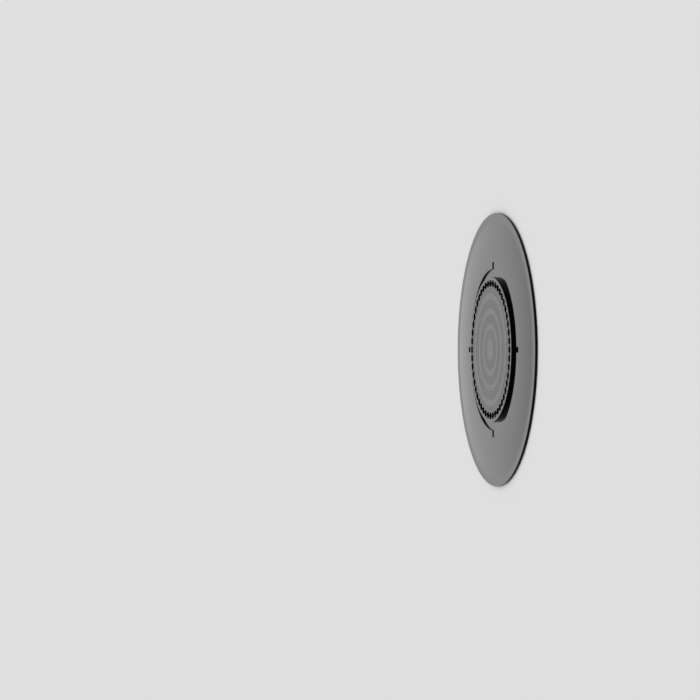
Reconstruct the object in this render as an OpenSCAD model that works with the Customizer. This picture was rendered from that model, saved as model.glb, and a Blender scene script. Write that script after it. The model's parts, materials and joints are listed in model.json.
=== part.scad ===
// Adhesive magnetic patch: a thin round disc with a sticky back.
// A low round boss in its middle enters a socket, and the magnet inside the boss pulls the two together.
// A ring of small pockets in the boss sets the turn, and four notches in the skirt mark the quarters.
// Z = 0 is the sticky face, with the origin on the disc's axis, and +Z points out of the front.

/* [Disc] */
// Outer diameter of the disc
disc_d = 62; // [54:0.5:80]
// Height of the upright rim
rim_h = 0.48; // [0.4:0.02:1.2]
// Width of the flat ring along the rim
rim_land = 1.8; // [0.6:0.1:3]
// Rise of the domed skirt above the flat ring
dome_rise = 0.54; // [0.3:0.02:1.2]
// Width of the groove round the boss
groove_w = 1.85; // [1:0.05:3]
// Thickness of the web under the groove
web_t = 0.62; // [0.3:0.02:0.8]
// Rounding of the moulded edges
edge_r = 0.12; // [0.05:0.01:0.18]

/* [Magnet and its steel plate] */
// Diameter of the magnet
magnet_d = 27; // [20:0.5:29]
// Thickness of the magnet
magnet_t = 0.7; // [0.5:0.05:1.5]
// Chamfer round both edges of the magnet
magnet_chamfer = 0.1; // [0.05:0.01:0.2]
// Thickness of the steel plate behind the magnet
keeper_t = 0.35; // [0.2:0.05:0.6]
// Clearance round the magnet and the plate in their recess
magnet_clearance = 0.1; // [0.05:0.01:0.3]
// Skin of the boss in front of the magnet
skin_t = 0.58; // [0.4:0.02:1.2]
// Wall between the recess and the index pockets
recess_wall = 0.65; // [0.4:0.05:1.2]

/* [Index ring] */
// Number of pockets
index_count = 48; // [24:4:60]
// Width of a pocket, along the ring
pocket_w = 1.45; // [0.9:0.05:1.5]
// Length of a pocket, outwards from the axis
pocket_l = 1.5; // [1:0.05:1.8]
// Rounding of a pocket's corners
pocket_corner = 0.35; // [0.05:0.05:0.4]
// Depth of the pockets below the boss's face
index_depth = 1.1; // [0.6:0.05:1.2]
// Width of the neck that joins the pockets
neck_w = 0.5; // [0.3:0.05:0.9]
// Land between the pockets and the boss's edge
index_land = 0.7; // [0.4:0.05:1.5]

/* [Relief rings on the boss] */
// Radius of the plain land in the middle
relief_r = 2.55; // [1:0.05:5]
// Width of a relief ring
relief_w = 2.05; // [1:0.05:3]
// Width of the land between two rings
relief_land = 1.36; // [0.6:0.02:2]
// Depth of a relief ring
relief_depth = 0.04; // [0.02:0.01:0.1]
// Land between the last ring and the index pockets
relief_end_land = 0.2; // [0.1:0.05:0.5]

/* [Quarter notches] */
// Number of notches
notch_count = 4; // [2:1:8]
// Width of a notch
notch_w = 1.2; // [0.6:0.05:2]
// Length of a notch, outwards from the groove
notch_l = 1.55; // [0.8:0.05:3]
// Step from a notch's floor down to the groove's floor
notch_step = 0.09; // [0.02:0.01:0.3]

/* [Adhesive pad] */
// Thickness of the pad
pad_t = 0.2; // [0.1:0.05:0.8]
// How far the pad's edge lies inside the rim
pad_inset = 0.4; // [0.2:0.1:1.5]

/* [Hidden] */
// How far a cut runs past the face that it opens
over = 0.2;
// Steps in the dome's arc, in a small edge's arc and round a pocket's corner
dome_steps = 16;
edge_steps = 4;
corner_steps = 4;
// Least width that is worth cutting as a last relief ring
relief_least_w = 0.5;

// Heights, from the sticky face outwards
back_z = pad_t;
magnet_z = back_z + keeper_t;
recess_top_z = magnet_z + magnet_t;
boss_z = recess_top_z + skin_t;
ring_z = back_z + rim_h;
crest_z = ring_z + dome_rise;
groove_z = back_z + web_t;
notch_z = groove_z + notch_step;

// Radii, from the magnet outwards
magnet_r = magnet_d / 2;
recess_r = magnet_r + magnet_clearance;
index_in_r = recess_r + recess_wall;
index_r = index_in_r + pocket_l / 2;
boss_r = index_r + pocket_l / 2 + index_land;
groove_r = boss_r + groove_w;
disc_r = disc_d / 2;
ring_in_r = disc_r - rim_land;
pad_r = disc_r - pad_inset;

// The dome is an arc that is level at the boss's wall and meets the flat ring dome_rise lower
dome_run = ring_in_r - boss_r;
dome_r = (dome_run * dome_run + dome_rise * dome_rise) / (2 * dome_rise);
dome_cz = crest_z - dome_r;
lip_r = groove_r + edge_r;
lip_z = dome_cz + sqrt(dome_r * dome_r - (lip_r - boss_r) * (lip_r - boss_r));

// Inner radii of the relief rings
relief_pitch = relief_w + relief_land;
relief_end_r = index_in_r - relief_end_land;
relief_starts = [for (r = relief_r; r < relief_end_r - relief_least_w; r = r + relief_pitch) r];

$fn = 180;

// Points of an arc about (cx, cz) from angle a0 to angle a1
function arc(cx, cz, r, a0, a1, steps) =
    [for (i = [0:steps]) let (a = a0 + (a1 - a0) * i / steps) [cx + r * cos(a), cz + r * sin(a)]];

// Half section of the cover, from the back out to the rim and in over the skirt, groove and boss
function cover_section() = concat(
    [[0, back_z], [disc_r, back_z]],
    arc(disc_r - edge_r, ring_z - edge_r, edge_r, 0, 90, edge_steps),
    arc(boss_r, dome_cz, dome_r, acos(dome_run / dome_r), acos((lip_r - boss_r) / dome_r), dome_steps),
    [for (p = arc(lip_r, lip_z - edge_r, edge_r, 90, 180, edge_steps)) if (p[0] < lip_r - edge_r / 100) p],
    [[groove_r, groove_z], [boss_r, groove_z]],
    arc(boss_r - edge_r, boss_z - edge_r, edge_r, 0, 90, edge_steps),
    [[0, boss_z]]
);

// A ring with a rectangular section, to cut with
module ring_cut(inner_r, outer_r, floor_z, top_z) {
    rotate_extrude()
        translate([inner_r, floor_z])
            square([outer_r - inner_r, top_z - floor_z]);
}

// Plan of one pocket: a rectangle with rounded corners, with its length along +X
module pocket_plan() {
    x = pocket_l / 2 - pocket_corner;
    y = pocket_w / 2 - pocket_corner;
    polygon(concat(
        arc(x, y, pocket_corner, 0, 90, corner_steps),
        arc(-x, y, pocket_corner, 90, 180, corner_steps),
        arc(-x, -y, pocket_corner, 180, 270, corner_steps),
        arc(x, -y, pocket_corner, 270, 360, corner_steps)
    ));
}

// Pockets on one circle, joined by a narrow neck
module index_cut() {
    floor_z = boss_z - index_depth;
    top_z = boss_z + over;
    ring_cut(index_r - neck_w / 2, index_r + neck_w / 2, floor_z, top_z);
    for (i = [0:index_count - 1])
        rotate([0, 0, 360 * i / index_count])
            translate([index_r, 0, floor_z])
                linear_extrude(height = top_z - floor_z)
                    pocket_plan();
}

// Shallow rings round the middle of the boss
module relief_cut() {
    for (r = relief_starts)
        ring_cut(r, min(r + relief_w, relief_end_r), boss_z - relief_depth, boss_z + over);
}

// Short slots from the groove into the skirt, the first one on +X
module notch_cut() {
    for (i = [0:notch_count - 1])
        rotate([0, 0, 360 * i / notch_count])
            translate([groove_r - over, -notch_w / 2, notch_z])
                cube([notch_l + over, notch_w, crest_z + over - notch_z]);
}

// Round pocket in the back that takes the magnet and its plate
module recess_cut() {
    translate([0, 0, back_z - over])
        cylinder(r = recess_r, h = recess_top_z - back_z + over);
}

// The moulded cover: rim, skirt, groove and boss in one piece
module cover_disc() {
    color("dimgray")
        difference() {
            rotate_extrude()
                polygon(cover_section());
            index_cut();
            relief_cut();
            notch_cut();
            recess_cut();
        }
}

// The magnet: a thin disc with chamfered edges, against the roof of the recess
module magnet_disc() {
    flat_r = magnet_r - magnet_chamfer;
    color("silver")
        rotate_extrude()
            polygon([
                [0, magnet_z],
                [flat_r, magnet_z],
                [magnet_r, magnet_z + magnet_chamfer],
                [magnet_r, recess_top_z - magnet_chamfer],
                [flat_r, recess_top_z],
                [0, recess_top_z]
            ]);
}

// The steel plate behind the magnet, flush with the back of the cover
module keeper_plate() {
    color("lightgray")
        translate([0, 0, back_z])
            cylinder(r = magnet_r, h = keeper_t);
}

// The double-sided pad under the cover
module adhesive_pad() {
    color("black")
        cylinder(r = pad_r, h = pad_t);
}

cover_disc();
magnet_disc();
keeper_plate();
adhesive_pad();
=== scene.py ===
# %% [markdown]
# # An adhesive magnetic patch
#
# This lesson dresses a thin moulded disc. Its back is sticky, a low round boss in the middle hides
# a magnet, and a ring of small pockets in the boss sets the turn. Almost the whole look is black
# plastic seen at a low angle. It mirrors the bright room on its flat faces and stays black on its
# upright walls, so the lesson is about smooth normals, soft light, and two degrees of gloss, the
# duller one a darker plastic that paints shade on the walls.
#
# Sizes are in millimetres, as a maker would give them, and MM turns them into metres where a mesh
# or a node takes them. The few names that end in _M are in metres from the start.

# %% Tools
import json
import math

import bmesh
import bpy
from mathutils import Matrix, Vector


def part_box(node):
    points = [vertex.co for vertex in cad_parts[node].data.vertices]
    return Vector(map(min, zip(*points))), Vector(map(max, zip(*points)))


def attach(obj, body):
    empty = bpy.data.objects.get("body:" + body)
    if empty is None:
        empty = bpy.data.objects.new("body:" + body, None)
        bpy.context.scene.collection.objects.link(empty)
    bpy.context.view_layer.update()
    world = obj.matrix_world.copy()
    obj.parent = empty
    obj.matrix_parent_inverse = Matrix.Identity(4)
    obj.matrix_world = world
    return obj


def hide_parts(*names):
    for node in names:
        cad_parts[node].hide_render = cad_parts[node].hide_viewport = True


MM = 0.001

# %% [markdown]
# ## The frame
#
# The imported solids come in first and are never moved. They give the sizes that everything else
# follows: the disc's radius and the heights of its layers. These numbers could be typed in again,
# but read from the solids they can't drift from them.

# %% Load the frame
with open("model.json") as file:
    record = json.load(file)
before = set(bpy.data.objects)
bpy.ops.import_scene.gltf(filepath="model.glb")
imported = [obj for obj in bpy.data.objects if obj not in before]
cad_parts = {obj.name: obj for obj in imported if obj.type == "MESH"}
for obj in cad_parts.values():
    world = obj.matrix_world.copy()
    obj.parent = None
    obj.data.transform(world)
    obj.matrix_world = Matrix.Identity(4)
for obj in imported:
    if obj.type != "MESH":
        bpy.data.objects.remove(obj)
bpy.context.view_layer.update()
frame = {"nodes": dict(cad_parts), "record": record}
cover_low, cover_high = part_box("cover_disc")
magnet_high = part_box("magnet_disc")[1]
keeper_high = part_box("keeper_plate")[1]
pad_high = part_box("adhesive_pad")[1]
boss_mount = next(m for m in frame["record"]["mounts"] if m["name"] == "boss")
tops = {"pad": pad_high, "plate": keeper_high, "magnet": magnet_high, "cover": cover_high}
print("nodes:", sorted(frame["nodes"]))
print("tops in mm:", {name: round(high.z / MM, 3) for name, high in tops.items()})

# %% [markdown]
# ## The camera
#
# The picture is taken with a long lens from far to one side, only about 15 degrees above the
# disc's face. The disc lies flat here, so the camera leans on its side to give the same picture.
# It could be placed by eye, but the rim's ellipse gives the angle, and the rest is worked out from
# where the disc's centre falls in the picture.

# %% Camera
PICTURE_PX = 700
SENSOR_MM = 36.0
FOCAL_PX = 5043.0
SIGHT_TILT = math.radians(75.21)
RIM_TOP_MM = 0.68
CENTRE_RIGHT_MM = 32.92
CENTRE_UP_MM = 0.07
CENTRE_AWAY_MM = 1142.6


def place_camera():
    """The camera that sees the disc's centre where the picture has it."""
    right = Vector((math.cos(SIGHT_TILT), 0, -math.sin(SIGHT_TILT)))
    up = Vector((0, 1, 0))
    back = Vector((math.sin(SIGHT_TILT), 0, math.cos(SIGHT_TILT)))
    centre = Vector((0, 0, RIM_TOP_MM))
    place = centre - right * CENTRE_RIGHT_MM - up * CENTRE_UP_MM + back * CENTRE_AWAY_MM
    data = bpy.data.cameras.new("picture_camera")
    data.lens = FOCAL_PX * SENSOR_MM / PICTURE_PX
    data.sensor_width = SENSOR_MM
    data.clip_start = 0.01
    data.clip_end = 50
    camera = bpy.data.objects.new("picture_camera", data)
    camera.matrix_world = Matrix.Translation(place * MM) @ Matrix((right, up, back)).transposed().to_4x4()
    bpy.context.scene.collection.objects.link(camera)
    bpy.context.scene.camera = camera
    return camera


camera = place_camera()
print("lens", round(camera.data.lens, 1), "mm, camera at", [round(v, 3) for v in camera.location])

# %% [markdown]
# ## The section
#
# The cover is one moulding, and round apart from its pockets and notches. Rings could be stacked
# and joined, but a half section turned once round the axis has no joint lines. Its points are named
# sizes and arcs. Two helpers make it shade well: arc gives round stretches a few points, and
# with_supports puts a point close to each end of a long flat stretch, so that the smooth normals of
# a small rounding don't leak across the flat face beside it.
#
# The skirt is a shallow dome. Where it meets the flat ring along the rim, a moulding has no crisp
# inner corner, so a short curve softens its foot and the gloss runs on without a line. The relief
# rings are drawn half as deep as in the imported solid, because a deeper step shows as a dark line.
# What tells them apart is their rougher finish.

# %% Sizes of the cover
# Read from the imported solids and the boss's mount
disc_r = cover_high.x / MM
back_z = cover_low.z / MM
boss_z = cover_high.z / MM
recess_z = magnet_high.z / MM
boss_r = boss_mount["dims"]["r_mm"]
magnet_r = magnet_high.x / MM
# Rim, skirt and groove, with the roundings of their edges and of the neck's lips
rim_h = 0.48
rim_land = 1.8
dome_rise = 0.54
groove_w = 1.85
web_t = 0.62
edge_r = 0.12
fine_r = 0.03
# Recess and index ring
magnet_clearance = 0.1
recess_wall = 0.65
pocket_w = 1.45
pocket_l = 1.5
pocket_corner = 0.35
index_depth = 1.1
neck_w = 0.5
index_count = 48
# Relief rings on the boss
relief_r = 2.55
relief_w = 2.05
relief_land = 1.36
relief_depth = 0.02
relief_end_land = 0.2
relief_least_w = 0.5
# Quarter notches
notch_count = 4
notch_w = 1.2
notch_l = 1.55
notch_step = 0.09
print("disc radius", round(disc_r, 3), "boss radius", boss_r, "magnet radius", round(magnet_r, 3))

# %% Heights and radii that follow from them
ring_z = back_z + rim_h
crest_z = ring_z + dome_rise
groove_z = back_z + web_t
notch_z = groove_z + notch_step
ring_in_r = disc_r - rim_land
groove_r = boss_r + groove_w
recess_r = magnet_r + magnet_clearance
index_in_r = recess_r + recess_wall
index_r = index_in_r + pocket_l / 2
relief_pitch = relief_w + relief_land
relief_end_r = index_in_r - relief_end_land
print("crest", round(crest_z, 3), "groove", round(groove_z, 3), "index radius", round(index_r, 3))

# %% Section helpers
SUPPORT_MM = 0.02
LONG_MM = 0.3
LIP_STEPS = 3


def arc(cx, cz, radius, start, end, steps):
    """Points of an arc about (cx, cz), with angles in degrees from +X towards +Z."""
    turns = [math.radians(start + (end - start) * i / steps) for i in range(steps + 1)]
    return [(cx + radius * math.cos(a), cz + radius * math.sin(a)) for a in turns]


def with_supports(points):
    """The same outline with a point close to both ends of each long straight stretch."""
    out = [points[0]]
    for (ax, az), (bx, bz) in zip(points, points[1:]):
        length = math.hypot(bx - ax, bz - az)
        if length > LONG_MM:
            for share in (SUPPORT_MM / length, 1 - SUPPORT_MM / length):
                out.append((ax + (bx - ax) * share, az + (bz - az) * share))
        out.append((bx, bz))
    return out


def trench(inner, outer, top, floor):
    """Outline of a groove in a flat face, walked inwards, with small roundings at its two lips."""
    return (
        arc(outer + fine_r, top - fine_r, fine_r, 90, 180, LIP_STEPS)
        + [(outer, floor), (inner, floor)]
        + arc(inner - fine_r, top - fine_r, fine_r, 0, 90, LIP_STEPS)
    )


# %% The domed skirt
FOOT_MM = 0.6
FOOT_STEPS = 6
DOME_STEPS = 24
EDGE_STEPS = 6

dome_run = ring_in_r - boss_r
dome_radius = (dome_run**2 + dome_rise**2) / (2 * dome_rise)


def dome_z(r):
    """Height of the domed skirt at a distance from the axis."""
    return crest_z - dome_radius + math.sqrt(dome_radius**2 - (r - boss_r) ** 2)


def on_curve(start, middle, end, t):
    """Point at share t of the curve that leaves start towards middle and ends at end."""
    return tuple(a * (1 - t) ** 2 + b * 2 * t * (1 - t) + c * t * t for a, b, c in zip(start, middle, end))


def dome_points():
    """The domed skirt, from its softened foot on the flat ring inwards to the lip of the groove."""
    lip_r = groove_r + edge_r
    lip_z = dome_z(lip_r)
    start = math.degrees(math.acos((dome_run - FOOT_MM) / dome_radius))
    end = math.degrees(math.acos((lip_r - boss_r) / dome_radius))
    dome = arc(boss_r, crest_z - dome_radius, dome_radius, start, end, DOME_STEPS)
    outer, corner = (ring_in_r + FOOT_MM, ring_z), (ring_in_r, ring_z)
    foot = [on_curve(outer, corner, dome[0], step / FOOT_STEPS) for step in range(FOOT_STEPS)]
    return foot + dome + arc(lip_r, lip_z - edge_r, edge_r, 90, 180, EDGE_STEPS)[1:]


# %% The cover's section
def relief_points():
    """The boss's face from the index ring inwards to the axis, with its shallow rings."""
    starts = []
    r = relief_r
    while r < relief_end_r - relief_least_w:
        starts.append(r)
        r += relief_pitch
    out = []
    floor = boss_z - relief_depth
    for r in reversed(starts):
        end = min(r + relief_w, relief_end_r)
        out += [(end, boss_z), (end - relief_depth, floor), (r + relief_depth, floor), (r, boss_z)]
    return out + [(0, boss_z)]


def cover_section():
    """Half a section of the cover, from the axis at the recess's roof round to the axis in front."""
    return with_supports(
        [(0, recess_z), (recess_r, recess_z), (recess_r, back_z), (disc_r, back_z)]
        + arc(disc_r - edge_r, ring_z - edge_r, edge_r, 0, 90, EDGE_STEPS)
        + dome_points()
        + [(groove_r, groove_z), (boss_r, groove_z)]
        + arc(boss_r - edge_r, boss_z - edge_r, edge_r, 0, 90, EDGE_STEPS)
        + trench(index_r - neck_w / 2, index_r + neck_w / 2, boss_z, boss_z - index_depth)
        + relief_points()
    )


section = cover_section()
print("section points:", len(section))

# %% [markdown]
# ## Finishes
#
# The finishes come before the shapes, because a tree ends by giving its shape a material. Nodes
# could be laid out by hand in the editor, but in code a few helpers keep them short and exact: one
# adds a Math node from numbers or sockets, and one maps a range.

# %% Material helpers
def new_material(name):
    """A material with its Principled BSDF, node list and link list."""
    material = bpy.data.materials.new(name)
    material.use_nodes = True
    nodes, links = material.node_tree.nodes, material.node_tree.links
    return material, nodes["Principled BSDF"], nodes, links


def number(nodes, links, operation, first, second):
    """A Math node whose inputs are numbers or sockets."""
    node = nodes.new("ShaderNodeMath")
    node.operation = operation
    for socket, value in zip(node.inputs, (first, second)):
        if isinstance(value, (int, float)):
            socket.default_value = value
        else:
            links.new(value, socket)
    return node.outputs[0]


def ramp(nodes, links, value, low, high, to_low, to_high):
    """A value mapped from one range to another, held at the ends."""
    node = nodes.new("ShaderNodeMapRange")
    links.new(value, node.inputs["Value"])
    for name, amount in (("From Min", low), ("From Max", high), ("To Min", to_low), ("To Max", to_high)):
        node.inputs[name].default_value = amount
    return node.outputs["Result"]


# %% [markdown]
# ### Grain
#
# Every real surface has a fine grain, and its gloss changes a little from place to place. A
# scanned picture could give both, but noise needs no file and has no seam. One shader group holds
# the two noises, and each finish places it with its own scales. It reads Object coordinates, so
# the grain stays on the piece from every view.

# %% Grain group
GRAIN_DETAIL = 2.0
BLOTCH_DETAIL = 3.0


def grain_group():
    """Fine grain for every finish: a height for a Bump node and a slow blotch for roughness."""
    tree = bpy.data.node_groups.new("fine_grain", "ShaderNodeTree")
    rows = (("Grain Per Metre", "Height", GRAIN_DETAIL), ("Blotch Per Metre", "Blotch", BLOTCH_DETAIL))
    for scale, name, _ in rows:
        tree.interface.new_socket(scale, in_out="INPUT", socket_type="NodeSocketFloat")
        tree.interface.new_socket(name, in_out="OUTPUT", socket_type="NodeSocketFloat")
    nodes, links = tree.nodes, tree.links
    given = nodes.new("NodeGroupInput")
    result = nodes.new("NodeGroupOutput")
    where = nodes.new("ShaderNodeTexCoord")
    for scale, name, detail in rows:
        noise = nodes.new("ShaderNodeTexNoise")
        noise.inputs["Detail"].default_value = detail
        links.new(where.outputs["Object"], noise.inputs["Vector"])
        links.new(given.outputs[scale], noise.inputs["Scale"])
        links.new(noise.outputs["Fac"], result.inputs[name])
    return tree


grain = grain_group()
print("grain inputs:", [s.name for s in grain.interface.items_tree if s.in_out == "INPUT"])

# %% Grain on a finish
BLOTCH_LOW = 0.3
BLOTCH_HIGH = 0.7


def place_grain(nodes, links, per_metre, blotch_per_metre, roughness, swing):
    """The grain group at this finish's scales: its height, and a roughness that swings slowly."""
    node = nodes.new("ShaderNodeGroup")
    node.node_tree = grain
    node.inputs["Grain Per Metre"].default_value = per_metre
    node.inputs["Blotch Per Metre"].default_value = blotch_per_metre
    blotch = node.outputs["Blotch"]
    rough = ramp(nodes, links, blotch, BLOTCH_LOW, BLOTCH_HIGH, roughness - swing, roughness + swing)
    return node.outputs["Height"], rough


def bump(nodes, links, height, shader, distance, strength):
    """A Bump node between a height and the shader's Normal, with its distance in metres."""
    node = nodes.new("ShaderNodeBump")
    node.inputs["Distance"].default_value = distance
    node.inputs["Strength"].default_value = strength
    links.new(height, node.inputs["Height"])
    links.new(node.outputs["Normal"], shader.inputs["Normal"])


# %% [markdown]
# ### The black plastic
#
# The cover is near-black plastic. Seen from a low angle it looks mid grey, because plastic mirrors
# a quarter of the light at 75 degrees from its normal, and only a twenty-fifth of it face on. A
# grey base colour would look the same from there and wrong from above, so the base stays dark and
# the gloss does the rest. The relief rings are rougher, with a coarser grain, as a spark-eroded
# mould leaves them, so they mirror a little less. Their mask could be painted, but worked out from
# the distance to the axis it follows the same named sizes as the section.

# %% Black plastic
PLASTIC_BASE = (0.004, 0.004, 0.0042, 1)
PLASTIC_IOR = 1.5
PLASTIC_GRAIN = 9000.0
PLASTIC_BLOTCH = 120.0
LAND_ROUGHNESS = 0.1
RELIEF_ROUGHNESS = 0.3
RELIEF_GRAIN = 4.0


def relief_mask(nodes, links):
    """1 on the relief rings of the boss's face and 0 elsewhere, from the distance to the axis."""
    where = nodes.new("ShaderNodeTexCoord")
    split = nodes.new("ShaderNodeSeparateXYZ")
    links.new(where.outputs["Object"], split.inputs[0])
    flat = nodes.new("ShaderNodeCombineXYZ")
    links.new(split.outputs["X"], flat.inputs["X"])
    links.new(split.outputs["Y"], flat.inputs["Y"])
    length = nodes.new("ShaderNodeVectorMath")
    length.operation = "LENGTH"
    links.new(flat.outputs[0], length.inputs[0])
    radius = number(nodes, links, "MULTIPLY", length.outputs["Value"], 1 / MM)
    past_first = number(nodes, links, "SUBTRACT", radius, relief_r)
    in_pitch = number(nodes, links, "FLOORED_MODULO", past_first, relief_pitch)
    in_ring = number(nodes, links, "LESS_THAN", in_pitch, relief_w)
    outside = number(nodes, links, "GREATER_THAN", radius, relief_r)
    inside = number(nodes, links, "LESS_THAN", radius, relief_end_r)
    floor_z, half = boss_z - relief_depth, relief_depth / 2
    above = number(nodes, links, "GREATER_THAN", split.outputs["Z"], (floor_z - half) * MM)
    below = number(nodes, links, "LESS_THAN", split.outputs["Z"], (floor_z + half) * MM)
    mask = in_ring
    for part in (outside, inside, above, below):
        mask = number(nodes, links, "MULTIPLY", mask, part)
    return mask


def black_plastic():
    """Satin near-black plastic, rougher and with a coarser grain on the relief rings."""
    material, shader, nodes, links = new_material("black_plastic")
    shader.inputs["Base Color"].default_value = PLASTIC_BASE
    shader.inputs["IOR"].default_value = PLASTIC_IOR
    fine, land = place_grain(nodes, links, PLASTIC_GRAIN, PLASTIC_BLOTCH, LAND_ROUGHNESS, swing=0.01)
    rings = relief_mask(nodes, links)
    extra = number(nodes, links, "MULTIPLY", rings, RELIEF_ROUGHNESS - LAND_ROUGHNESS)
    links.new(number(nodes, links, "ADD", land, extra), shader.inputs["Roughness"])
    amount = ramp(nodes, links, rings, 0.0, 1.0, 1.0, RELIEF_GRAIN)
    height = number(nodes, links, "MULTIPLY", fine, amount)
    bump(nodes, links, height, shader, distance=2e-6, strength=0.5)
    return material


plastic = black_plastic()
print("plastic nodes:", len(plastic.node_tree.nodes))

# %% [markdown]
# ### The walls' darker plastic
#
# On the real part the upright walls look much blacker than the faces. They still gloss at a
# grazing angle, where the groove's wall fades to grey, but face on they send back next to nothing.
# A darker base colour alone can't do that, because the light there is gloss. So they get a second,
# darker plastic with a low specular level as painted shade, and so do the insides of the pockets.

# %% Painted shade on the walls
# Wall plastic: a darker base and a low specular level paint shade on the upright walls and pocket bottoms
WALL_PAINTED_SHADE_BASE = (0.002, 0.002, 0.0021, 1)
WALL_BLOTCH = 300.0
WALL_ROUGHNESS = 0.2
WALL_PAINTED_SHADE_SPECULAR = 0.04


def painted_shade_plastic():
    """The same plastic, darker and with little gloss, to paint shade on the upright walls and pocket
    bottoms.
    """
    material, shader, nodes, links = new_material("black_plastic_walls")
    shader.inputs["Base Color"].default_value = WALL_PAINTED_SHADE_BASE
    shader.inputs["IOR"].default_value = PLASTIC_IOR
    shader.inputs["Specular IOR Level"].default_value = WALL_PAINTED_SHADE_SPECULAR
    height, rough = place_grain(nodes, links, PLASTIC_GRAIN, WALL_BLOTCH, WALL_ROUGHNESS, swing=0.05)
    links.new(rough, shader.inputs["Roughness"])
    bump(nodes, links, height, shader, distance=4e-6, strength=0.5)
    return material


wall_painted_shade = painted_shade_plastic()
print("wall plastic specular level:", WALL_PAINTED_SHADE_SPECULAR)

# %% [markdown]
# ### Foam, nickel and zinc
#
# The other three finishes belong to the pad, the magnet and the steel plate. The pad is foam tape:
# dark, dull and slightly mottled. The metals could be two separate materials, but they differ only
# in colour, roughness and grain, so one function makes both: warm nickel on the magnet and cooler
# zinc on the plate.

# %% Foam, nickel and zinc
FOAM_BASE = (0.02, 0.02, 0.022, 1)
FOAM_GRAIN = 3500.0
FOAM_BLOTCH = 200.0
FOAM_ROUGHNESS = 0.535
METAL_BLOTCH = 250.0
NICKEL_BASE = (0.62, 0.6, 0.56, 1)
ZINC_BASE = (0.5, 0.51, 0.53, 1)


def adhesive_foam():
    """Black acrylic foam, tacky on its outer face."""
    material, shader, nodes, links = new_material("adhesive_foam")
    shader.inputs["Base Color"].default_value = FOAM_BASE
    height, rough = place_grain(nodes, links, FOAM_GRAIN, FOAM_BLOTCH, FOAM_ROUGHNESS, swing=0.085)
    links.new(rough, shader.inputs["Roughness"])
    bump(nodes, links, height, shader, distance=1.5e-5, strength=0.6)
    return material


def bare_metal(name, colour, roughness, per_metre):
    """A metal with a fine grain: nickel plating on the magnet, zinc on the steel."""
    material, shader, nodes, links = new_material(name)
    shader.inputs["Base Color"].default_value = colour
    shader.inputs["Metallic"].default_value = 1.0
    height, rough = place_grain(nodes, links, per_metre, METAL_BLOTCH, roughness, swing=0.06)
    links.new(rough, shader.inputs["Roughness"])
    bump(nodes, links, height, shader, distance=3e-6, strength=0.4)
    return material


foam = adhesive_foam()
nickel = bare_metal("magnet_plating", NICKEL_BASE, roughness=0.24, per_metre=6000.0)
zinc = bare_metal("keeper_steel", ZINC_BASE, roughness=0.38, per_metre=2500.0)
print("finishes:", [finish.name for finish in (plastic, wall_painted_shade, foam, nickel, zinc)])

# %% [markdown]
# ## A lathe in Geometry Nodes
#
# Both round pieces, the cover and the pad, follow one rule: a section is turned about the axis.
# The tree below does it with a grid. One side of the grid has a point for each point of the
# section, the other side has a point for each step of the turn, and every grid point is moved to
# its section point, turned by its step. The seam and the axis are closed by merging what coincides.
# A Screw modifier could do it too. Here the steps, the sharp angle and the material are inputs,
# and the small tree that marks sharp edges serves the cuts later as well.

# %% Tree helpers
def new_tree(name, inputs):
    """A tree with geometry going in and out, its other named inputs, and its two end nodes."""
    tree = bpy.data.node_groups.new(name, "GeometryNodeTree")
    face = tree.interface
    face.new_socket("Geometry", in_out="INPUT", socket_type="NodeSocketGeometry")
    for label, kind in inputs:
        face.new_socket(label, in_out="INPUT", socket_type="NodeSocket" + kind)
    face.new_socket("Geometry", in_out="OUTPUT", socket_type="NodeSocketGeometry")
    return tree, tree.nodes.new("NodeGroupInput"), tree.nodes.new("NodeGroupOutput")


def whole(nodes, links, operation, first, second):
    """An Integer Math node whose inputs are whole numbers or sockets."""
    node = nodes.new("FunctionNodeIntegerMath")
    node.operation = operation
    for socket, value in zip(node.inputs, (first, second)):
        if isinstance(value, int):
            socket.default_value = value
        else:
            links.new(value, socket)
    return node.outputs[0]


# %% Shading by angle
def shade_by_angle():
    """A tree that shades every face smooth and marks the edges past an angle as sharp."""
    tree, given, result = new_tree("shade_by_angle", [("Angle", "Float")])
    nodes, links = tree.nodes, tree.links
    angle = nodes.new("GeometryNodeInputMeshEdgeAngle")
    is_smooth = nodes.new("FunctionNodeCompare")
    is_smooth.data_type = "FLOAT"
    is_smooth.operation = "LESS_THAN"
    links.new(angle.outputs["Unsigned Angle"], is_smooth.inputs["A"])
    links.new(given.outputs["Angle"], is_smooth.inputs["B"])
    faces = nodes.new("GeometryNodeSetShadeSmooth")
    faces.domain = "FACE"
    links.new(given.outputs["Geometry"], faces.inputs["Geometry"])
    edges = nodes.new("GeometryNodeSetShadeSmooth")
    edges.domain = "EDGE"
    links.new(faces.outputs[0], edges.inputs["Geometry"])
    links.new(is_smooth.outputs[0], edges.inputs["Shade Smooth"])
    links.new(edges.outputs[0], result.inputs[0])
    return tree


shading = shade_by_angle()


# %% End of a tree
def close_tree(tree, given, result, shape):
    """Ends a tree: sharp edges by angle, then Realize Instances and Set Material."""
    nodes, links = tree.nodes, tree.links
    shade = nodes.new("GeometryNodeGroup")
    shade.node_tree = shading
    links.new(shape, shade.inputs["Geometry"])
    links.new(given.outputs["Edge Angle"], shade.inputs["Angle"])
    real = nodes.new("GeometryNodeRealizeInstances")
    links.new(shade.outputs[0], real.inputs[0])
    dress = nodes.new("GeometryNodeSetMaterial")
    links.new(real.outputs[0], dress.inputs["Geometry"])
    links.new(given.outputs["Material"], dress.inputs["Material"])
    links.new(dress.outputs[0], result.inputs[0])


# %% Lathe
MERGE_MM = 0.0001
DRESS = [("Edge Angle", "Float"), ("Material", "Material")]


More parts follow.
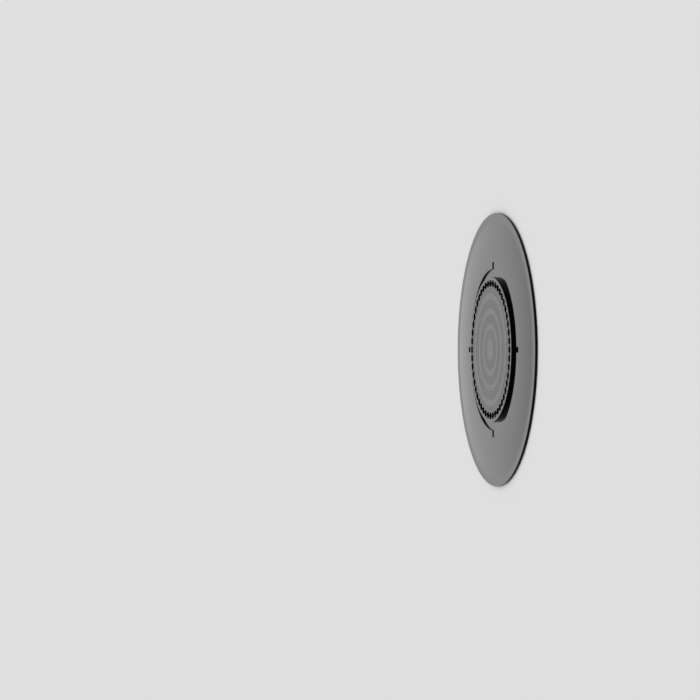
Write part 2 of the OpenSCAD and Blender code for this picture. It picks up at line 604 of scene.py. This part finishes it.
def lathe():
    """Geometry Nodes tree: a chain of points in the XZ plane, turned once round the Z axis."""
    tree, given, result = new_tree("lathe", [("Steps", "Int")] + DRESS)
    nodes, links = tree.nodes, tree.links
    count = nodes.new("GeometryNodeAttributeDomainSize")
    links.new(given.outputs["Geometry"], count.inputs["Geometry"])
    columns = whole(nodes, links, "ADD", given.outputs["Steps"], 1)
    grid = nodes.new("GeometryNodeMeshGrid")
    links.new(count.outputs["Point Count"], grid.inputs["Vertices X"])
    links.new(columns, grid.inputs["Vertices Y"])

    index = nodes.new("GeometryNodeInputIndex").outputs[0]
    place = nodes.new("GeometryNodeInputPosition").outputs[0]
    point = nodes.new("GeometryNodeSampleIndex")
    point.data_type = "FLOAT_VECTOR"
    links.new(given.outputs["Geometry"], point.inputs["Geometry"])
    links.new(place, point.inputs["Value"])
    links.new(whole(nodes, links, "DIVIDE_FLOOR", index, columns), point.inputs["Index"])
    step = number(nodes, links, "DIVIDE", math.tau, given.outputs["Steps"])
    column = whole(nodes, links, "FLOORED_MODULO", index, columns)
    turn = nodes.new("ShaderNodeVectorRotate")
    turn.rotation_type = "Z_AXIS"
    links.new(point.outputs["Value"], turn.inputs["Vector"])
    links.new(number(nodes, links, "MULTIPLY", column, step), turn.inputs["Angle"])

    move = nodes.new("GeometryNodeSetPosition")
    links.new(grid.outputs["Mesh"], move.inputs["Geometry"])
    links.new(turn.outputs[0], move.inputs["Position"])
    merge = nodes.new("GeometryNodeMergeByDistance")
    merge.inputs["Distance"].default_value = MERGE_MM * MM
    links.new(move.outputs[0], merge.inputs["Geometry"])
    close_tree(tree, given, result, merge.outputs[0])
    return tree


lathe_tree = lathe()
print("lathe inputs:", [s.name for s in lathe_tree.interface.items_tree if s.in_out == "INPUT"])

# %% [markdown]
# ## Turning the section
#
# The section now becomes the cover's blank, still without pockets and notches. The modifier could
# stay live on the object, but the cuts and the second finish need real faces, so its result is kept
# as a plain mesh. Its inputs are set by their identifiers, before the object is looked at for the
# first time. The lathe gets as many steps as the long, low-angle highlights need. With 32 the rim
# would show flats. With 360 they are a thousandth of a millimetre deep. Turning can leave a shell
# inside out, so its normals are worked out once more.

# %% Turn the cover
TURN_STEPS = 360
SHARP_ANGLE = math.radians(28)
WELD_M = 1e-8


def shaped(obj, tree, **values):
    """Runs a tree on obj with the named inputs, and keeps the result as obj's own mesh."""
    modifier = obj.modifiers.new(tree.name, "NODES")
    modifier.node_group = tree
    for item in tree.interface.items_tree:
        label = item.name.replace(" ", "_").lower()
        if item.in_out == "INPUT" and label in values:
            modifier[item.identifier] = values[label]
    bpy.context.view_layer.update()
    made = bpy.data.meshes.new_from_object(obj.evaluated_get(bpy.context.evaluated_depsgraph_get()))
    obj.modifiers.clear()
    obj.data = made
    return obj


def turned(name, points_mm, edge_angle, material):
    """A closed round mesh object from half a section, with outward normals."""
    chain = bpy.data.meshes.new(name)
    chain.from_pydata([(r * MM, 0, z * MM) for r, z in points_mm], [], [])
    obj = bpy.data.objects.new(name, chain)
    bpy.context.scene.collection.objects.link(obj)
    shaped(obj, lathe_tree, steps=TURN_STEPS, edge_angle=edge_angle, material=material)
    body = bmesh.new()
    body.from_mesh(obj.data)
    bmesh.ops.remove_doubles(body, verts=body.verts, dist=WELD_M)
    bmesh.ops.recalc_face_normals(body, faces=body.faces)
    open_edges = sum(not edge.is_manifold for edge in body.edges)
    volume = round(body.calc_volume() / MM**3, 1)
    print(name, "faces:", len(body.faces), "open edges:", open_edges, "mm3:", volume)
    body.to_mesh(obj.data)
    body.free()
    obj.data.name = name
    return obj


cover = turned("cover_moulding", section, SHARP_ANGLE, plastic)

# %% [markdown]
# ## Pockets and notches
#
# The index ring is 48 small pockets, rounded rectangles that a narrow neck joins, and the skirt has
# four notches with rounded ends. One sector could be modelled and spun, but a cut keeps the
# moulding one closed body. So one tree puts a cutter on a circle as often as asked and takes all of
# them away. The cutter's shape comes from a small object, and the count and radius are inputs, so
# the tree is used twice. The neck is already in the section, and the pockets reach a hair deeper
# than it, so that no two faces coincide in the cut. Each cutter flares just under the face, which
# leaves the thin chamfer that catches the light.

# %% Cutters
CUT_ABOVE_MM = 0.3
DEEPER_MM = 0.004
LIP_MM = 0.05
NOTCH_CORNER_MM = 0.1
CORNER_STEPS = 4


def cutter(name, levels):
    """A closed solid through flat outlines at rising heights, to be taken away from the moulding."""
    body = bmesh.new()
    rows = [[body.verts.new((x * MM, y * MM, z * MM)) for x, y in outline] for outline, z in levels]
    for low, high in zip(rows, rows[1:]):
        for i, corner in enumerate(low):
            body.faces.new((corner, low[i - 1], high[i - 1], high[i]))
    body.faces.new(rows[0])
    body.faces.new(rows[-1])
    bmesh.ops.recalc_face_normals(body, faces=body.faces)
    mesh = bpy.data.meshes.new(name)
    body.to_mesh(mesh)
    body.free()
    obj = bpy.data.objects.new(name, mesh)
    bpy.context.scene.collection.objects.link(obj)
    return obj


def pocket_outline(grow):
    """Plan of a pocket, a rectangle with rounded corners, widened all round by grow."""
    x, y = pocket_l / 2 - pocket_corner, pocket_w / 2 - pocket_corner
    corner = pocket_corner + grow
    turns = ((x, y, 0), (-x, y, 90), (-x, -y, 180), (x, -y, 270))
    points = []
    for cx, cy, start in turns:
        points += arc(cx, cy, corner, start, start + 90, CORNER_STEPS)
    return points


def notch_outline(grow):
    """Plan of a notch, open towards the groove and rounded at its far end, widened by grow."""
    half = notch_w / 2
    x, y, corner = notch_l - NOTCH_CORNER_MM, half - NOTCH_CORNER_MM, NOTCH_CORNER_MM + grow
    start = [(-CUT_ABOVE_MM, half + grow), (-CUT_ABOVE_MM, -half - grow)]
    return start + arc(x, -y, corner, -90, 0, CORNER_STEPS) + arc(x, y, corner, 0, 90, CORNER_STEPS)


def lipped(outline, floor_mm, face_mm):
    """Levels of a cutter: upright to just under the face, then flared so that it leaves a chamfer."""
    past = LIP_MM / 2
    wide = outline(LIP_MM + past)
    return [
        (outline(0), floor_mm),
        (outline(0), face_mm - LIP_MM),
        (wide, face_mm + past),
        (wide, face_mm + CUT_ABOVE_MM),
    ]


pocket = cutter("pocket", lipped(pocket_outline, boss_z - index_depth - DEEPER_MM, boss_z))
skirt_z = dome_z(groove_r + notch_l / 2)
notch = cutter("notch", lipped(notch_outline, notch_z, skirt_z))
print("pocket faces:", len(pocket.data.polygons), "notch faces:", len(notch.data.polygons))

# %% Ring of cuts
def ring_of_cuts():
    """Geometry Nodes tree: cutter objects on a circle, taken away from the geometry."""
    inputs = [("Cutter", "Object"), ("Count", "Int"), ("Ring Radius", "Float")]
    tree, given, result = new_tree("ring_of_cuts", inputs + DRESS)
    nodes, links = tree.nodes, tree.links
    circle = nodes.new("GeometryNodeMeshCircle")
    links.new(given.outputs["Count"], circle.inputs["Vertices"])
    links.new(given.outputs["Ring Radius"], circle.inputs["Radius"])
    info = nodes.new("GeometryNodeObjectInfo")
    links.new(given.outputs["Cutter"], info.inputs["Object"])

    index = nodes.new("GeometryNodeInputIndex").outputs[0]
    share = number(nodes, links, "DIVIDE", math.tau, given.outputs["Count"])
    about_z = nodes.new("ShaderNodeCombineXYZ")
    links.new(number(nodes, links, "MULTIPLY", index, share), about_z.inputs["Z"])
    rotation = nodes.new("FunctionNodeEulerToRotation")
    links.new(about_z.outputs[0], rotation.inputs[0])

    copies = nodes.new("GeometryNodeInstanceOnPoints")
    links.new(circle.outputs["Mesh"], copies.inputs["Points"])
    links.new(info.outputs["Geometry"], copies.inputs["Instance"])
    links.new(rotation.outputs[0], copies.inputs["Rotation"])
    real_cuts = nodes.new("GeometryNodeRealizeInstances")
    links.new(copies.outputs[0], real_cuts.inputs[0])
    cut = nodes.new("GeometryNodeMeshBoolean")
    cut.operation = "DIFFERENCE"
    cut.solver = "MANIFOLD"
    links.new(given.outputs["Geometry"], cut.inputs["Mesh 1"])
    links.new(real_cuts.outputs[0], cut.inputs["Mesh 2"])
    close_tree(tree, given, result, cut.outputs["Mesh"])
    return tree


cuts_tree = ring_of_cuts()
print("cut inputs:", [s.name for s in cuts_tree.interface.items_tree if s.in_out == "INPUT"])

# %% Cut pockets and notches
for tool, count, ring_mm in ((pocket, index_count, index_r), (notch, notch_count, groove_r)):
    shaped(
        cover,
        cuts_tree,
        cutter=tool,
        count=count,
        ring_radius=ring_mm * MM,
        edge_angle=SHARP_ANGLE,
        material=plastic,
    )
    print(cover.name, "after", tool.name, "cuts:", len(cover.data.polygons), "faces")
    bpy.data.objects.remove(tool)

# %% [markdown]
# ## Painted shade on the walls
#
# After the cuts, every face knows which way it points. The steep ones take the darker, duller
# plastic as painted shade, and so do the bottoms of the pockets, which light hardly reaches. A mask
# in the shader could do it from the normal, but a second material slot is simpler.

# %% Paint shade on the walls and pocket bottoms
STEEP_BELOW_Z = 0.5
BACK_MARGIN_MM = 0.05
RING_MARGIN_MM = 0.1


def paint_shade_on_walls(obj):
    """Paints shade on the steep faces and the bottoms of the pockets by giving them the darker wall
    plastic.
    """
    obj.data.materials.append(wall_painted_shade)
    slot = len(obj.data.materials) - 1
    low, high = back_z + BACK_MARGIN_MM, boss_z - index_depth / 2
    inner, outer = index_in_r - RING_MARGIN_MM, index_in_r + pocket_l + RING_MARGIN_MM
    count = 0
    for face in obj.data.polygons:
        radius = math.hypot(face.center.x, face.center.y)
        in_pocket = inner * MM < radius < outer * MM and low * MM < face.center.z < high * MM
        # Steep faces and pocket bottoms get the darker plastic: painted shade
        if abs(face.normal.z) < STEEP_BELOW_Z or in_pocket:
            face.material_index = slot
            count += 1
    print("wall faces:", count)


paint_shade_on_walls(cover)

# %% [markdown]
# ## The adhesive pad
#
# The pad is foam tape, die-cut a little smaller than the disc. Its cut edge bulges slightly where
# the cover presses on it. A plain cylinder would show a hard cut there, so the pad is drawn as a
# section with a round edge and turned by the same lathe, with no sharp edge anywhere.

# %% Pad
pad_r = pad_high.x / MM
pad_t = pad_high.z / MM
BULGE_MM = 0.03
BULGE_STEPS = 8
NO_SHARP_EDGE = math.pi


def pad_section():
    """Half a section of the pad, from the axis on the sticky face round to the axis on top."""
    middle = pad_t / 2
    edge = arc(pad_r - BULGE_MM, middle, BULGE_MM, -90, 90, BULGE_STEPS)
    edge = [(r, middle + (z - middle) * middle / BULGE_MM) for r, z in edge]
    return with_supports([(0, 0)] + edge + [(0, pad_t)])


pad = turned("pad_foam", pad_section(), NO_SHARP_EDGE, foam)

# %% [markdown]
# ## The hidden pieces
#
# The magnet and its plate sit inside the boss and are seen from no side. They could be drawn again
# as the cover is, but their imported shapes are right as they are, so they only take their finishes.

# %% Magnet and plate
for node_name, finish in (("magnet_disc", nickel), ("keeper_plate", zinc)):
    node = frame["nodes"][node_name]
    node.data.materials.clear()
    node.data.materials.append(finish)
    print(node_name, "keeps its packed mesh")

# %% [markdown]
# ## Studio
#
# The floor is plain and pale. A plane would do, seen from above. This one is a ring that shows only
# from above, with its hole hidden under the pad, so a look from below sees the sticky face in
# daylight.

# %% Floor
FLOOR_RADIUS_M = 4.0
FLOOR_BELOW_M = 2e-6
FLOOR_SIDES = 180
FLOOR_TONE = 0.668
FLOOR_ROUGHNESS = 0.9
HOLE_MARGIN_MM = 0.1


def floor_ring(hole_r):
    """A pale round floor with a hole hidden under the pad, so that light can reach the sticky face."""
    points, faces = [], []
    for side in range(FLOOR_SIDES):
        a = math.tau * side / FLOOR_SIDES
        for r in (hole_r, FLOOR_RADIUS_M):
            points.append((r * math.cos(a), r * math.sin(a), -FLOOR_BELOW_M))
        inner, after = 2 * side, 2 * ((side + 1) % FLOOR_SIDES)
        faces.append((inner, inner + 1, after + 1, after))
    mesh = bpy.data.meshes.new("floor")
    mesh.from_pydata(points, [], faces)
    obj = bpy.data.objects.new("floor", mesh)
    bpy.context.scene.collection.objects.link(obj)
    return obj


def one_sided_paper():
    """Matt pale paper that is clear when seen from below."""
    material, shader, nodes, links = new_material("floor_paper")
    shader.inputs["Base Color"].default_value = (FLOOR_TONE, FLOOR_TONE, FLOOR_TONE, 1)
    shader.inputs["Roughness"].default_value = FLOOR_ROUGHNESS
    shader.inputs["Specular IOR Level"].default_value = 0.0
    facing = nodes.new("ShaderNodeNewGeometry")
    clear = nodes.new("ShaderNodeBsdfTransparent")
    one_sided = nodes.new("ShaderNodeMixShader")
    links.new(facing.outputs["Backfacing"], one_sided.inputs[0])
    links.new(shader.outputs[0], one_sided.inputs[1])
    links.new(clear.outputs[0], one_sided.inputs[2])
    links.new(one_sided.outputs[0], nodes["Material Output"].inputs["Surface"])
    return material


floor = floor_ring((pad_r - HOLE_MARGIN_MM) * MM)
floor.data.materials.append(one_sided_paper())
print("floor faces:", len(floor.data.polygons))

# %% [markdown]
# The light comes from a bright room all round, a touch dimmer on the side of the camera, with a
# little more from overhead. One even surround was chosen in place of lamps, because the low-angle
# gloss then runs over the dome without a hot spot, from whichever side it is seen.

# %% World
FAR_SIDE = 1.07
NEAR_SIDE = 0.8
NEAR_FULL_X = 0.6
OVERHEAD = 0.25
OVERHEAD_FROM_Z = 0.5
OVERHEAD_FULL_Z = 0.9

world = bpy.data.worlds.new("studio")
bpy.context.scene.world = world
world.use_nodes = True
world_nodes, world_links = world.node_tree.nodes, world.node_tree.links
sky = world_nodes["Background"]
direction = world_nodes.new("ShaderNodeTexCoord")
parts = world_nodes.new("ShaderNodeSeparateXYZ")
world_links.new(direction.outputs["Generated"], parts.inputs[0])
side_x, up_z = parts.outputs["X"], parts.outputs["Z"]
around = ramp(world_nodes, world_links, side_x, 0.0, NEAR_FULL_X, FAR_SIDE, NEAR_SIDE)
above = ramp(world_nodes, world_links, up_z, OVERHEAD_FROM_Z, OVERHEAD_FULL_Z, 0.0, OVERHEAD)
world_links.new(number(world_nodes, world_links, "ADD", around, above), sky.inputs["Strength"])
sky.inputs["Color"].default_value = (1, 1, 1, 1)
bpy.context.scene.view_settings.view_transform = "Standard"
print("surround:", FAR_SIDE, "to", NEAR_SIDE, "and", OVERHEAD, "more from overhead")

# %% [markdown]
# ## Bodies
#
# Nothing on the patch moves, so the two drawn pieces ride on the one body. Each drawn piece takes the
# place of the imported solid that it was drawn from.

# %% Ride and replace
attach(cover, "root")
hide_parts("cover_disc")
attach(pad, "root")
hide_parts("adhesive_pad")
